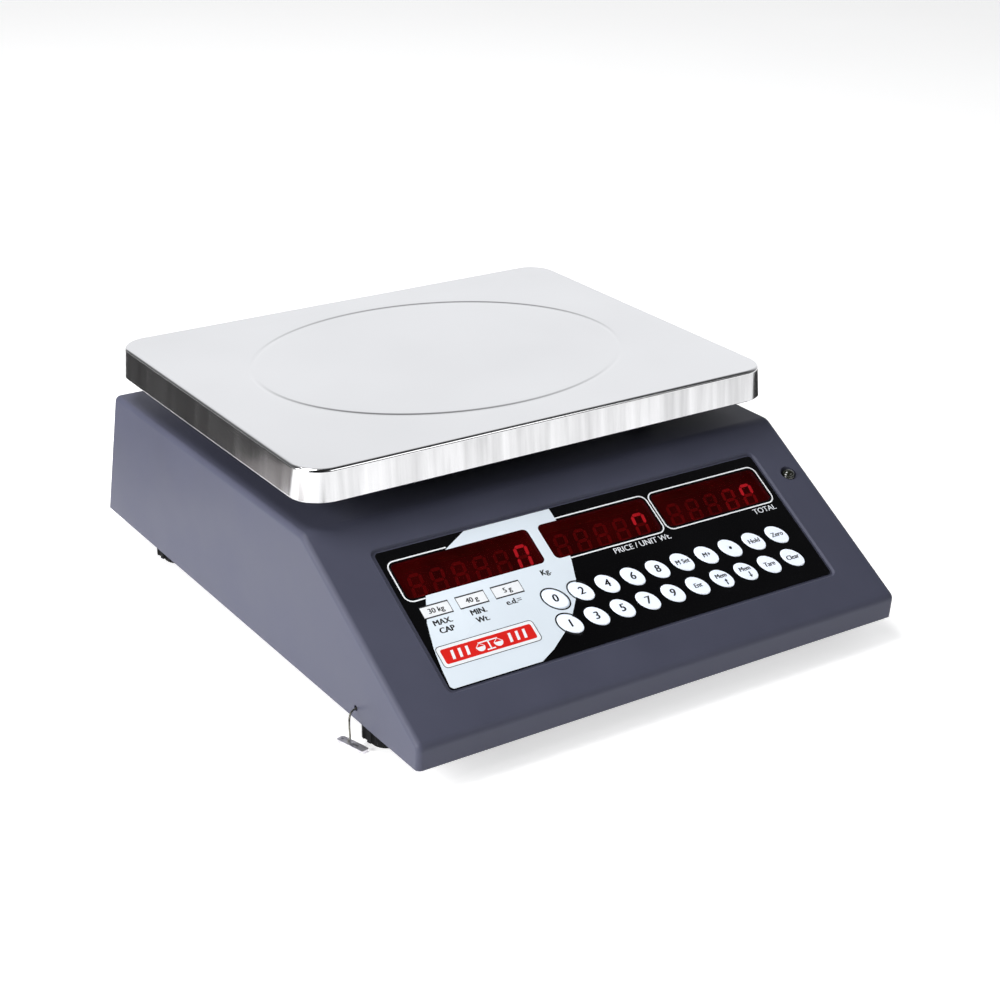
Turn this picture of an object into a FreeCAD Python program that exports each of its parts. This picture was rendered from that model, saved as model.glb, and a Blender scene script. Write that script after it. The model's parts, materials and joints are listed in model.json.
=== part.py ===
import FreeCAD, Part
import math
import os

from FreeCAD import Placement, Rotation, Vector

# A bench counting scale with a wedge-shaped plastic case, a sloping display and key panel at the front
# and a stainless platter over the deck.
# Frame: millimetres, +Z up, the front of the scale faces -Y and +X is to the right of a person who
# faces the front. The origin is at the middle of the footprint, on the surface that the feet stand on.

# ------------------------------------------------------------------ driving dimensions
CASE_WIDTH = 301.0
CASE_DEPTH = 364.2          # from the foremost edge of the lip to the rear bottom edge
CASE_BOTTOM = 12.0          # height of the case's bottom edge over the resting surface
LIP_HEIGHT = 13.2           # height of the front lip over the case's bottom edge
LIP_LEAN = 1.2              # the lip's bottom edge lies this far behind its top edge
DECK_HEIGHT = 79.5          # height of the deck over the case's bottom edge
KNEE_SETBACK = 111.5        # from the lip's top edge back to where slope and deck meet
REAR_LEAN = 22.4            # the rear wall's top edge lies this far ahead of its bottom edge
WALL = 3.2                  # the case moulding's wall
SIDE_ROUND = 3.0            # rounding along both side walls
KNEE_ROUND = 10.0
LIP_ROUND = 4.5
REAR_ROUND = 5.0

PLATTER_CENTRE_Y = 43.3
PLATTER_WIDTH = 297.8       # over the skirt's bottom edge
PLATTER_DEPTH = 233.8
PLATTER_TOP = 123.5
SKIRT_HEIGHT = 17.5
SKIRT_DRAFT = 1.1           # the skirt leans in by this much at each side
PLATTER_CORNER = 18.0
PLATTER_FOLD = 1.8          # outer radius of the fold between top and skirt
PLATTER_SHEET = 1.2
RING_HALF_WIDTH = 110.0     # pressed oval groove in the platter's top
RING_HALF_DEPTH = 89.0
RING_GROOVE = 3.0
RING_SINK = 0.4

PANEL_CENTRE = (1.5, 66.5)  # on the slope: across, and up from the lip's top edge
OVERLAY_SIZE = (242.0, 84.2)
RECESS_SIZE = (246.8, 88.8)
RECESS_BEVEL = 1.0
PANEL_CORNER = 4.0
OVERLAY_TOP = -0.7          # depths on the slope are measured along its outward normal
OVERLAY_THICK = 0.5
RECESS_FLOOR = OVERLAY_TOP - OVERLAY_THICK

WINDOW_SPANS = ((-114.9, -33.3), (-26.5, 42.0), (47.0, 117.5))
WINDOW_LOW = 78.3
WINDOW_HIGH = 100.2
WINDOW_CORNER = 2.8
WINDOW_FLANGE = 1.6
WINDOW_FLANGE_THICK = 1.0
WINDOW_GAP = 0.1

KEY_FIRST_X = -40.2
KEY_PITCH = 16.23
KEY_ROWS = (56.1, 40.1)
KEY_HALF_LONG = 7.1
KEY_HALF_SHORT = 4.9
KEY_TILT = -45.0
KEY_GAP = 0.15
KEY_TOP = -0.2
KEY_BASE = -1.5
KEY_FLANGE = 0.8
KEY_NAMES = (
    ("key_0", "key_2", "key_4", "key_6", "key_8",
     "key_memory_set", "key_memory_plus", "key_point", "key_hold", "key_zero"),
    ("key_1", "key_3", "key_5", "key_7", "key_9",
     "key_enter", "key_memory_up", "key_memory_down", "key_tare", "key_clear"),
)
POCKET_X = (-50.0, 116.0)   # sunk bed of the key circuit, under the overlay
POCKET_S = (31.0, 65.2)
POCKET_FLOOR = -2.5
CIRCUIT_THICK = 0.35
TAIL_X = (21.0, 45.0)       # the key circuit's flexible tail
TAIL_S = (32.6, 33.0)

DIGIT_PITCH = 12.7
DIGIT_BLOCK = (12.6, 19.0, 8.0)
DIGIT_FACE = -4.6
DIGIT_CENTRE_S = 86.8
DIGIT_GROUPS = (
    ("weight_digits", 6, -72.6),
    ("unit_value_digits", 5, 9.2),
    ("total_digits", 5, 83.4),
)
BOARD_X = (-118.0, 121.0)
BOARD_S = (68.0, 109.0)
BOARD_THICK = 1.6
BOARD_FACE = DIGIT_FACE - DIGIT_BLOCK[2]
BOARD_SCREW_X = (-112.0, 3.0, 115.0)
BOARD_SCREW_S = (71.2, 105.8)

LEVEL_AT = (138.2, 91.0)    # on the slope: across, and up from the lip's top edge
LEVEL_HOLE_HALF = (4.75, 3.95)
VIAL_RADIUS = 3.6
VIAL_HEIGHT = 8.0
VIAL_SINK = 0.2             # the vial's top lies this far under the slope

SEAL_HOLE_Y = -122.7
SEAL_HOLE_Z = 18.5
SEAL_HOLE_RADIUS = 1.6
SEAL_WIRE_RADIUS = 0.5
SEAL_TAG_SIZE = (18.6, 4.8, 1.6)
SEAL_TAG_CENTRE = (-154.6, -126.0)
SEAL_TAG_TURN = -75.0
SEAL_TAG_SLOTS = ((2.0, 4.4, 1.3), (-6.9, 2.0, 0.8))    # place along the tag, length, width

POST_X = 95.0
POST_OFFSET_Y = 68.0
POST_RADIUS = 7.0
POST_HOLE_RADIUS = 10.0
BUMPER_RADIUS = 9.0
BUMPER_HEIGHT = 4.8
SPIGOT_RADIUS = 2.5
SPIDER_LOW = 70.0
SPIDER_HIGH = 78.0

CELL_SIZE = (130.0, 30.0, 22.0)
CELL_BOTTOM = 23.6
CELL_BOLTS_X = (42.0, 58.0)
BOLT_RADIUS = 3.0
BOLT_HOLE_RADIUS = 3.2
BOLT_HEAD_RADIUS = 5.0
BOLT_HEAD_HEIGHT = 3.4
STOP_GAP = 1.1              # play under the load cell's free end

TRAY_BOTTOM = 12.6
TRAY_FLOOR = 3.0
TRAY_HALF_WIDTH = 146.9
TRAY_Y = (-177.0, 175.5)
TRAY_RIM = 2.4
TRAY_RIM_TOP = 20.0
PAD_RISE = 3.0
PILLAR_HEIGHT = 6.0

FOOT_ROWS = {"front": (137.5, -130.0), "rear": (135.0, 116.1)}
FOOT_PAD_RADIUS = 8.5
FOOT_PAD_HEIGHT = 2.4
FOOT_WHEEL_RADIUS = 12.5
FOOT_WHEEL_TOP = 11.8
FOOT_CONE_HEIGHT = 1.4
FOOT_BOSS_RADIUS = 8.5
FLUTES = 12
FLUTE_RADIUS = 2.2
STUD_RADIUS = 4.0
STUD_TOP = 28.0
INSERT_RADIUS = 6.0
INSERT_HEIGHT = 10.0
RUNNING_GAP = 0.05

SCREW_CORE_RADIUS = 1.3
SCREW_HOLE_RADIUS = 1.8
SCREW_HEAD_RADIUS = 2.9
SCREW_HEAD_HEIGHT = 1.5
SCREW_GRIP = 7.0
CASE_SCREWS = (
    (-138.0, -160.0), (138.0, -160.0),
    (-140.0, 62.0), (140.0, 62.0),
    (-138.0, 160.0), (138.0, 160.0),
)

BATTERY_X = (-134.0, -64.0)
BATTERY_Y = (-77.0, 24.0)
BATTERY_HEIGHT = 45.0

REAR_POCKET_X = (40.0, 122.0)
REAR_POCKET_Z = (24.5, 55.5)
REAR_POCKET_FLOOR_Y = 166.0
INLET_CENTRE = (61.0, 40.0)
SWITCH_CENTRE = (101.0, 40.0)
ROCKER_TILT = 11.0

# ------------------------------------------------------------------ derived places
LIP_Y = -CASE_DEPTH / 2
LIP_Z = CASE_BOTTOM + LIP_HEIGHT
REAR_Y = CASE_DEPTH / 2
DECK_Z = CASE_BOTTOM + DECK_HEIGHT
KNEE_Y = LIP_Y + KNEE_SETBACK
SLOPE_DEG = math.degrees(math.atan2(DECK_HEIGHT - LIP_HEIGHT, KNEE_SETBACK))
SLOPE = Placement(Vector(0, LIP_Y, LIP_Z), Rotation(Vector(1, 0, 0), SLOPE_DEG))
TRAY_TOP = TRAY_BOTTOM + TRAY_FLOOR
CELL_TOP = CELL_BOTTOM + CELL_SIZE[2]
SHEET_UNDER = PLATTER_TOP - PLATTER_SHEET
POST_TOP = SHEET_UNDER - BUMPER_HEIGHT
MAIN_BOARD_TOP = TRAY_TOP + PILLAR_HEIGHT + BOARD_THICK
CASE_OUTLINE = (
    (LIP_Y + LIP_LEAN, CASE_BOTTOM),
    (LIP_Y, LIP_Z),
    (KNEE_Y, DECK_Z),
    (REAR_Y - REAR_LEAN, DECK_Z),
    (REAR_Y, CASE_BOTTOM),
)
POSTS = [(sx * POST_X, PLATTER_CENTRE_Y + sy * POST_OFFSET_Y) for sx in (-1, 1) for sy in (-1, 1)]
PILLARS = [(x, y) for x in (25.0, 125.0) for y in (-92.0, -30.0)]
BOARD_SCREWS = [(x, s) for x in BOARD_SCREW_X for s in BOARD_SCREW_S]
FEET = {
    "%s_%s" % (row, side): (sign * x, y)
    for row, (x, y) in FOOT_ROWS.items()
    for side, sign in (("left", -1), ("right", 1))
}
KEYS = [
    (name, KEY_FIRST_X + KEY_PITCH * i, s)
    for s, names in zip(KEY_ROWS, KEY_NAMES)
    for i, name in enumerate(names)
]


# ------------------------------------------------------------------ shape helpers
def box(x, y, z):
    """A box from its low and high limits along each axis."""
    return Part.makeBox(x[1] - x[0], y[1] - y[0], z[1] - z[0], Vector(x[0], y[0], z[0]))


def rod(radius, z0, z1, x=0.0, y=0.0):
    """An upright cylinder."""
    return Part.makeCylinder(radius, z1 - z0, Vector(x, y, z0))


def cross_rod(radius, centre, length, axis):
    """A cylinder centred on a point, along any axis."""
    start = Vector(*centre) - Vector(*axis) * (length / 2)
    return Part.makeCylinder(radius, length, start, Vector(*axis))


def flat_face(points):
    """A flat face from its corner points."""
    corners = [Vector(*p) for p in points]
    return Part.Face(Part.makePolygon(corners + corners[:1]))


def rounded_wire(centre, size, corner, z):
    """A rectangle with round corners, as a closed wire at height z."""
    middle = Vector(centre[0], centre[1], z)
    hx, hy = size[0] / 2 - corner, size[1] / 2 - corner
    up = Vector(0, 0, 1)
    corners = ((hx, hy, 0), (-hx, hy, 90), (-hx, -hy, 180), (hx, -hy, 270))
    edges = []
    for i, (x, y, start) in enumerate(corners):
        here = middle + Vector(x, y, 0)
        after = middle + Vector(corners[(i + 1) % 4][0], corners[(i + 1) % 4][1], 0)
        circle = Part.Circle(here, up, corner)
        edges.append(Part.Arc(circle, math.radians(start), math.radians(start + 90)).toShape())
        out = Rotation(up, start + 90).multVec(Vector(corner, 0, 0))
        edges.append(Part.LineSegment(here + out, after + out).toShape())
    return Part.Wire(edges)


def rounded_plate(centre, size, corner, z0, z1):
    """A plate with round corners."""
    return Part.Face(rounded_wire(centre, size, corner, z0)).extrude(Vector(0, 0, z1 - z0))


def oval_plate(centre, half_long, half_short, turn, z0, z1):
    """An elliptical plate whose long axis is turned about Z."""
    edge = Part.Ellipse(Vector(0, 0, 0), half_long, half_short).toShape()
    plate = Part.Face(Part.Wire([edge])).extrude(Vector(0, 0, z1 - z0))
    plate.Placement = Placement(Vector(centre[0], centre[1], z0), Rotation(Vector(0, 0, 1), turn))
    return plate


def on_slope(shape):
    """Moves a shape from slope coordinates (across, up the slope, outwards) to the scale's frame."""
    shape = shape.copy()
    shape.Placement = SLOPE.multiply(shape.Placement)
    return shape


def united(shapes):
    """One shape out of several, which may lie apart."""
    return shapes[0].multiFuse(shapes[1:])


def joined(shapes):
    """One solid out of touching or overlapping shapes, without seams between flush faces."""
    return united(shapes).removeSplitter()


def group(shapes):
    """Separate solids of one node."""
    return Part.makeCompound(shapes)


def inset_outline(outline, distance, bottom_drop):
    """The side outline with each wall moved in by distance, and its open bottom moved down."""
    count = len(outline)
    lines = []
    for i in range(count):
        (y0, z0), (y1, z1) = outline[i], outline[(i + 1) % count]
        length = math.hypot(y1 - y0, z1 - z0)
        # The inside is on the right of each run from one corner to the next.
        inward = ((z1 - z0) / length, -(y1 - y0) / length)
        shift = -bottom_drop if i == count - 1 else distance
        lines.append(((y0 + inward[0] * shift, z0 + inward[1] * shift), (y1 - y0, z1 - z0)))
    corners = []
    for i in range(count):
        (p, u), (q, v) = lines[i - 1], lines[i]
        t = ((q[0] - p[0]) * v[1] - (q[1] - p[1]) * v[0]) / (u[0] * v[1] - u[1] * v[0])
        corners.append((p[0] + u[0] * t, p[1] + u[1] * t))
    return corners


def extruded_outline(outline, half_width):
    """A side outline (y, z) pulled across the scale."""
    face = flat_face([(-half_width, y, z) for y, z in outline])
    return face.extrude(Vector(2 * half_width, 0, 0))


def tube_along(points, radius, label):
    """A round wire along straight runs joined by tangent arcs. Prints the arcs' radii."""
    points = [Vector(*p) for p in points]
    edges, radii = [], []
    last = points[0]
    for a, b, c in zip(points, points[1:], points[2:]):
        into, out = (b - a).normalize(), (c - b).normalize()
        turn = into.getAngle(out)
        reach = 0.45 * min((b - a).Length, (c - b).Length)
        radii.append(reach / math.tan(turn / 2))
        start, end = b - into * reach, b + out * reach
        inward = (out - into).normalize()
        middle = b + inward * (radii[-1] / math.cos(turn / 2) - radii[-1])
        edges.append(Part.LineSegment(last, start).toShape())
        edges.append(Part.Arc(start, middle, end).toShape())
        last = end
    edges.append(Part.LineSegment(last, points[-1]).toShape())
    path = Part.Wire(edges)
    circle = Part.Circle(points[0], points[1] - points[0], radius).toShape()
    tube = path.makePipeShell([Part.Wire([circle])], True, False)
    share = tube.Volume / (math.pi * radius ** 2 * path.Length)
    print(label, "length %.1f" % path.Length, "volume share %.3f" % share,
          "radii", ["%.1f" % r for r in radii])
    return tube


# ------------------------------------------------------------------ case
def case_block():
    """The case's outer form, solid, with its roundings."""
    half = CASE_WIDTH / 2
    block = extruded_outline(CASE_OUTLINE, half)
    for (y, z), radius in zip(CASE_OUTLINE[1:4], (LIP_ROUND, KNEE_ROUND, REAR_ROUND)):
        across = [
            e for e in block.Edges
            if abs(e.Length - CASE_WIDTH) < 0.01
            and math.hypot(e.CenterOfMass.y - y, e.CenterOfMass.z - z) < 0.01
        ]
        block = block.makeFillet(radius, across)
    sides = [
        e for e in block.Edges
        if abs(abs(e.CenterOfMass.x) - half) < 0.01
        and e.BoundBox.XLength < 0.01
        and e.BoundBox.ZMax > CASE_BOTTOM + 0.01
    ]
    return block.makeFillet(SIDE_ROUND, sides)


def panel_recess():
    """The shallow bevelled bed of the front panel."""
    bed_size = (RECESS_SIZE[0] - 2 * RECESS_BEVEL, RECESS_SIZE[1] - 2 * RECESS_BEVEL)
    bed_corner = PANEL_CORNER - RECESS_BEVEL
    upper = rounded_wire(PANEL_CENTRE, RECESS_SIZE, PANEL_CORNER, 0.0)
    lower = rounded_wire(PANEL_CENTRE, bed_size, bed_corner, -RECESS_BEVEL)
    bevel = Part.makeLoft([lower, upper], True)
    bed = rounded_plate(PANEL_CENTRE, bed_size, bed_corner, RECESS_FLOOR, -RECESS_BEVEL)
    above = rounded_plate(PANEL_CENTRE, RECESS_SIZE, PANEL_CORNER, 0.0, 2.0)
    return on_slope(united([bed, bevel, above]))


def window_plate(span, grow, z0, z1):
    """A display window's rounded plate in slope coordinates."""
    centre = ((span[0] + span[1]) / 2, (WINDOW_LOW + WINDOW_HIGH) / 2)
    size = (span[1] - span[0] + 2 * grow, WINDOW_HIGH - WINDOW_LOW + 2 * grow)
    return rounded_plate(centre, size, WINDOW_CORNER + grow, z0, z1)


def level_point():
    """Where the level's axis meets the slope."""
    return SLOPE.multVec(Vector(LEVEL_AT[0], LEVEL_AT[1], 0))


def rear_pocket(grow):
    """The upright pocket in the leaning rear wall that holds inlet and switch."""
    x = (REAR_POCKET_X[0] - grow, REAR_POCKET_X[1] + grow)
    z = (REAR_POCKET_Z[0] - grow, REAR_POCKET_Z[1] + grow)
    return box(x, (REAR_POCKET_FLOOR_Y - grow, REAR_Y + 5), z)


def pocket_opening(centre, width, height):
    """The cut for a part that is mounted through the rear pocket's floor."""
    x = (centre[0] - width / 2, centre[0] + width / 2)
    z = (centre[1] - height / 2, centre[1] + height / 2)
    return box(x, (REAR_POCKET_FLOOR_Y - WALL - 1, REAR_POCKET_FLOOR_Y + 1), z)


def cover_bosses():
    """What stands inside the shell: screw bosses, the level's socket and the rear pocket's walls."""
    level = level_point()
    bosses = [rod(4.0, TRAY_TOP, DECK_Z - 1, x, y) for x, y in CASE_SCREWS]
    bosses += [on_slope(rod(3.2, BOARD_FACE, -1.0, x, s)) for x, s in BOARD_SCREWS]
    bosses.append(rod(6.2, level.z - 12, level.z + 4, level.x, level.y))
    bosses.append(rear_pocket(WALL))
    return united(bosses)


def cover_cuts():
    """Everything that is open in the shell."""
    level = level_point()
    cuts = [panel_recess(), rear_pocket(0)]
    cuts.append(on_slope(box(POCKET_X, POCKET_S, (POCKET_FLOOR, RECESS_FLOOR + 0.1))))
    tail_slot = box((TAIL_X[0] - 1, TAIL_X[1] + 1), (TAIL_S[0] - 0.4, TAIL_S[1] + 0.4),
                    (-WALL - 1, POCKET_FLOOR + 0.1))
    cuts.append(on_slope(tail_slot))
    cuts += [on_slope(window_plate(span, WINDOW_GAP, -WALL - 1, 0)) for span in WINDOW_SPANS]
    cuts.append(oval_plate((level.x, level.y), *LEVEL_HOLE_HALF, 0, level.z - 3.6, level.z + 6))
    vial_foot = level.z - VIAL_SINK - VIAL_HEIGHT
    cuts.append(rod(VIAL_RADIUS + RUNNING_GAP, vial_foot, level.z, level.x, level.y))
    cuts += [rod(POST_HOLE_RADIUS, DECK_Z - 10, DECK_Z + 5, x, y) for x, y in POSTS]
    cuts += [rod(SCREW_CORE_RADIUS, TRAY_TOP - 1, TRAY_TOP + SCREW_GRIP + 3, x, y) for x, y in CASE_SCREWS]
    for x, s in BOARD_SCREWS:
        cuts.append(on_slope(rod(SCREW_CORE_RADIUS, BOARD_FACE - 1, BOARD_FACE + SCREW_GRIP, x, s)))
    cuts.append(pocket_opening(INLET_CENTRE, 27.2, 20.2))
    cuts.append(pocket_opening(SWITCH_CENTRE, 21.2, 15.2))
    cuts.append(cross_rod(SEAL_HOLE_RADIUS, (-CASE_WIDTH / 2, SEAL_HOLE_Y, SEAL_HOLE_Z), 20, (1, 0, 0)))
    return united(cuts)


def top_cover():
    """One moulded shell: walls, deck and sloping front, with bosses inside."""
    block = case_block()
    hollow = extruded_outline(inset_outline(CASE_OUTLINE, WALL, 1.0), CASE_WIDTH / 2 - WALL)
    shell = block.cut(hollow)
    inside = block.common(cover_bosses())
    return shell.fuse(inside).cut(cover_cuts()).removeSplitter()


# ------------------------------------------------------------------ front panel
def panel_overlay():
    """The printed front sheet, open at the windows and at each key."""
    sheet = rounded_plate(PANEL_CENTRE, OVERLAY_SIZE, 2.0, RECESS_FLOOR, OVERLAY_TOP)
    holes = [window_plate(span, WINDOW_GAP, RECESS_FLOOR - 1, 0) for span in WINDOW_SPANS]
    half = (KEY_HALF_LONG + KEY_GAP, KEY_HALF_SHORT + KEY_GAP)
    holes += [oval_plate((x, s), *half, KEY_TILT, RECESS_FLOOR - 1, 0) for name, x, s in KEYS]
    return on_slope(sheet.cut(united(holes)))


def display_windows():
    """Three red filter plates, flanged behind the slope's wall."""
    plates = []
    back = -WALL - WINDOW_FLANGE_THICK
    for span in WINDOW_SPANS:
        plate = window_plate(span, 0, back, OVERLAY_TOP)
        flange = window_plate(span, WINDOW_FLANGE, back, -WALL)
        plates.append(on_slope(joined([plate, flange])))
    return group(plates)


def key(x, s):
    """One key cap with the flange that keeps it under the overlay."""
    cap = oval_plate((x, s), KEY_HALF_LONG, KEY_HALF_SHORT, KEY_TILT, KEY_BASE, KEY_TOP)
    rim = [e for e in cap.Edges if e.BoundBox.ZMin > KEY_TOP - 0.01]
    cap = cap.makeChamfer(0.25, rim)
    flange_half = (KEY_HALF_LONG + KEY_FLANGE, KEY_HALF_SHORT + KEY_FLANGE)
    flange = oval_plate((x, s), *flange_half, KEY_TILT, KEY_BASE, RECESS_FLOOR - RUNNING_GAP)
    return on_slope(joined([cap, flange]))


def membrane_circuit():
    """The flexible key circuit with its tail through the slot in the slope."""
    top = POCKET_FLOOR + CIRCUIT_THICK
    sheet = box((POCKET_X[0] + 0.5, POCKET_X[1] - 0.5), (POCKET_S[0] + 0.5, POCKET_S[1] - 0.5),
                (POCKET_FLOOR, top))
    tail = box(TAIL_X, TAIL_S, (-16.0, top))
    return on_slope(joined([sheet, tail]))


def snap_domes():
    """One thin metal dome under each key."""
    base = POCKET_FLOOR + CIRCUIT_THICK
    return group([on_slope(Part.makeCone(4.0, 2.0, 0.2, Vector(x, s, base))) for name, x, s in KEYS])


def display_board():
    """The board behind the windows that carries the digit blocks."""
    board = box(BOARD_X, BOARD_S, (BOARD_FACE - BOARD_THICK, BOARD_FACE))
    holes = [rod(SCREW_HOLE_RADIUS, BOARD_FACE - 5, BOARD_FACE + 5, x, s) for x, s in BOARD_SCREWS]
    return on_slope(board.cut(united(holes)))


def digit_blocks(count, centre_x):
    """A row of seven-segment digit blocks."""
    width, height, depth = DIGIT_BLOCK
    s_span = (DIGIT_CENTRE_S - height / 2, DIGIT_CENTRE_S + height / 2)
    blocks = []
    for i in range(count):
        x = centre_x + (i - (count - 1) / 2) * DIGIT_PITCH
        blocks.append(on_slope(box((x - width / 2, x + width / 2), s_span, (DIGIT_FACE - depth, DIGIT_FACE))))
    return group(blocks)


def level_vial():
    """The round spirit level: a short upright vial with a domed top."""
    centre = level_point()
    top = centre.z - VIAL_SINK
    vial = rod(VIAL_RADIUS, top - VIAL_HEIGHT, top, centre.x, centre.y)
    rim = [e for e in vial.Edges if e.BoundBox.ZMin > top - 0.01]
    return vial.makeFillet(1.6, rim)


# ------------------------------------------------------------------ platter and weighing platform
def platter_form(shrink, z0, z1):
    """The platter's tapered block, smaller by shrink on each side."""
    wires = []
    for z in (z0, z1):
        lean = SKIRT_DRAFT * (z - (PLATTER_TOP - SKIRT_HEIGHT)) / SKIRT_HEIGHT
        size = (PLATTER_WIDTH - 2 * lean - 2 * shrink, PLATTER_DEPTH - 2 * lean - 2 * shrink)
        wires.append(rounded_wire((0, PLATTER_CENTRE_Y), size, PLATTER_CORNER - shrink, z))
    return Part.makeLoft(wires, True)


def platter():
    """The stainless pan: a flat top with a pressed oval groove, and a skirt all round."""
    outer = platter_form(0, PLATTER_TOP - SKIRT_HEIGHT, PLATTER_TOP)
    top_edges = [e for e in outer.Edges if e.BoundBox.ZMin > PLATTER_TOP - 0.01]
    outer = outer.makeFillet(PLATTER_FOLD, top_edges)
    inner = platter_form(PLATTER_SHEET, PLATTER_TOP - SKIRT_HEIGHT - 1, SHEET_UNDER)
    half = RING_GROOVE / 2
    centre = (0, PLATTER_CENTRE_Y)
    ring_z = (PLATTER_TOP - RING_SINK, PLATTER_TOP + 1)
    ring = oval_plate(centre, RING_HALF_WIDTH + half, RING_HALF_DEPTH + half, 0, *ring_z)
    island = oval_plate(centre, RING_HALF_WIDTH - half, RING_HALF_DEPTH - half, 0, *ring_z)
    return outer.cut(inner).cut(ring.cut(island))


def platform_spider():
    """The cast carrier under the deck: an H frame, a hub on the load cell and four posts."""
    cy = PLATTER_CENTRE_Y
    plate_z = (SPIDER_LOW, SPIDER_HIGH)
    parts = [box((-POST_X, POST_X), (cy - 14, cy + 14), plate_z)]
    for side in (-1, 1):
        parts.append(rounded_plate((side * POST_X, cy), (20, 2 * POST_OFFSET_Y + 20), 9.9, *plate_z))
    parts.append(box((35.0, 65.0), (cy - 15, cy + 15), (CELL_TOP, SPIDER_HIGH)))
    parts += [rod(POST_RADIUS, SPIDER_LOW, POST_TOP, x, y) for x, y in POSTS]
    cuts = [rod(SPIGOT_RADIUS, POST_TOP - 6, POST_TOP + 1, x, y) for x, y in POSTS]
    for x in CELL_BOLTS_X:
        cuts.append(rod(BOLT_HOLE_RADIUS, CELL_TOP - 1, SPIDER_HIGH + 1, x, cy))
        cuts.append(rod(BOLT_HEAD_RADIUS + 0.3, SPIDER_HIGH - BOLT_HEAD_HEIGHT - 0.3, SPIDER_HIGH + 1, x, cy))
    return joined(parts).cut(united(cuts))


def platter_bumpers():
    """Four rubber buttons that carry the platter."""
    bumpers = []
    for x, y in POSTS:
        button = rod(BUMPER_RADIUS, POST_TOP, SHEET_UNDER, x, y)
        spigot = rod(SPIGOT_RADIUS - RUNNING_GAP, POST_TOP - 5, POST_TOP + 1, x, y)
        bumpers.append(joined([button, spigot]))
    return group(bumpers)


def load_cell():
    """The aluminium beam with its two-lobed window, bolted down at one end and loaded at the other."""
    lx, ly = CELL_SIZE[:2]
    cy = PLATTER_CENTRE_Y
    beam = box((-lx / 2, lx / 2), (cy - ly / 2, cy + ly / 2), (CELL_BOTTOM, CELL_TOP))
    middle = (CELL_BOTTOM + CELL_TOP) / 2
    cuts = [cross_rod(8.0, (x, cy, middle), ly + 2, (0, 1, 0)) for x in (-14.0, 14.0)]
    cuts.append(box((-14.0, 14.0), (cy - ly / 2 - 1, cy + ly / 2 + 1), (middle - 2.5, middle + 2.5)))
    for x in CELL_BOLTS_X:
        cuts.append(rod(BOLT_RADIUS + RUNNING_GAP, CELL_BOTTOM - 1, CELL_BOTTOM + 10, -x, cy))
        cuts.append(rod(BOLT_RADIUS + RUNNING_GAP, CELL_TOP - 10, CELL_TOP + 1, x, cy))
    return beam.cut(united(cuts))


def cell_base_spacer():
    """The steel pad that lifts the load cell clear of the base."""
    cy = PLATTER_CENTRE_Y
    pad = box((-65.0, -35.0), (cy - 15, cy + 15), (TRAY_TOP + PAD_RISE, CELL_BOTTOM))
    holes = [rod(BOLT_HOLE_RADIUS, TRAY_TOP, CELL_TOP, -x, cy) for x in CELL_BOLTS_X]
    return pad.cut(united(holes))


def bolt(x, head_z, tip_z):
    """A headed bolt on the platter's centre line; its tip may be above or below its head."""
    cy = PLATTER_CENTRE_Y
    head = rod(BOLT_HEAD_RADIUS, head_z, head_z + BOLT_HEAD_HEIGHT, x, cy)
    shank = rod(BOLT_RADIUS, min(head_z + 1, tip_z), max(head_z + 1, tip_z), x, cy)
    return joined([head, shank])


def cell_base_bolts():
    """Two bolts from under the base into the load cell's fixed end."""
    return group([bolt(-x, TRAY_BOTTOM + 0.3, CELL_BOTTOM + 9) for x in CELL_BOLTS_X])


def cell_top_bolts():
    """Two long bolts from the spider into the load cell's free end."""
    return group([bolt(x, SPIDER_HIGH - BOLT_HEAD_HEIGHT - 0.3, CELL_TOP - 9) for x in CELL_BOLTS_X])


def overload_stop():
    """The set screw and nut that stop the load cell's free end."""
    place = (50.0, PLATTER_CENTRE_Y)
    screw = rod(BOLT_RADIUS, TRAY_BOTTOM + 0.4, CELL_BOTTOM - STOP_GAP, *place)
    nut = rod(5.2, TRAY_TOP + PAD_RISE, TRAY_TOP + PAD_RISE + 2, *place)
    return joined([screw, nut])


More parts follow.
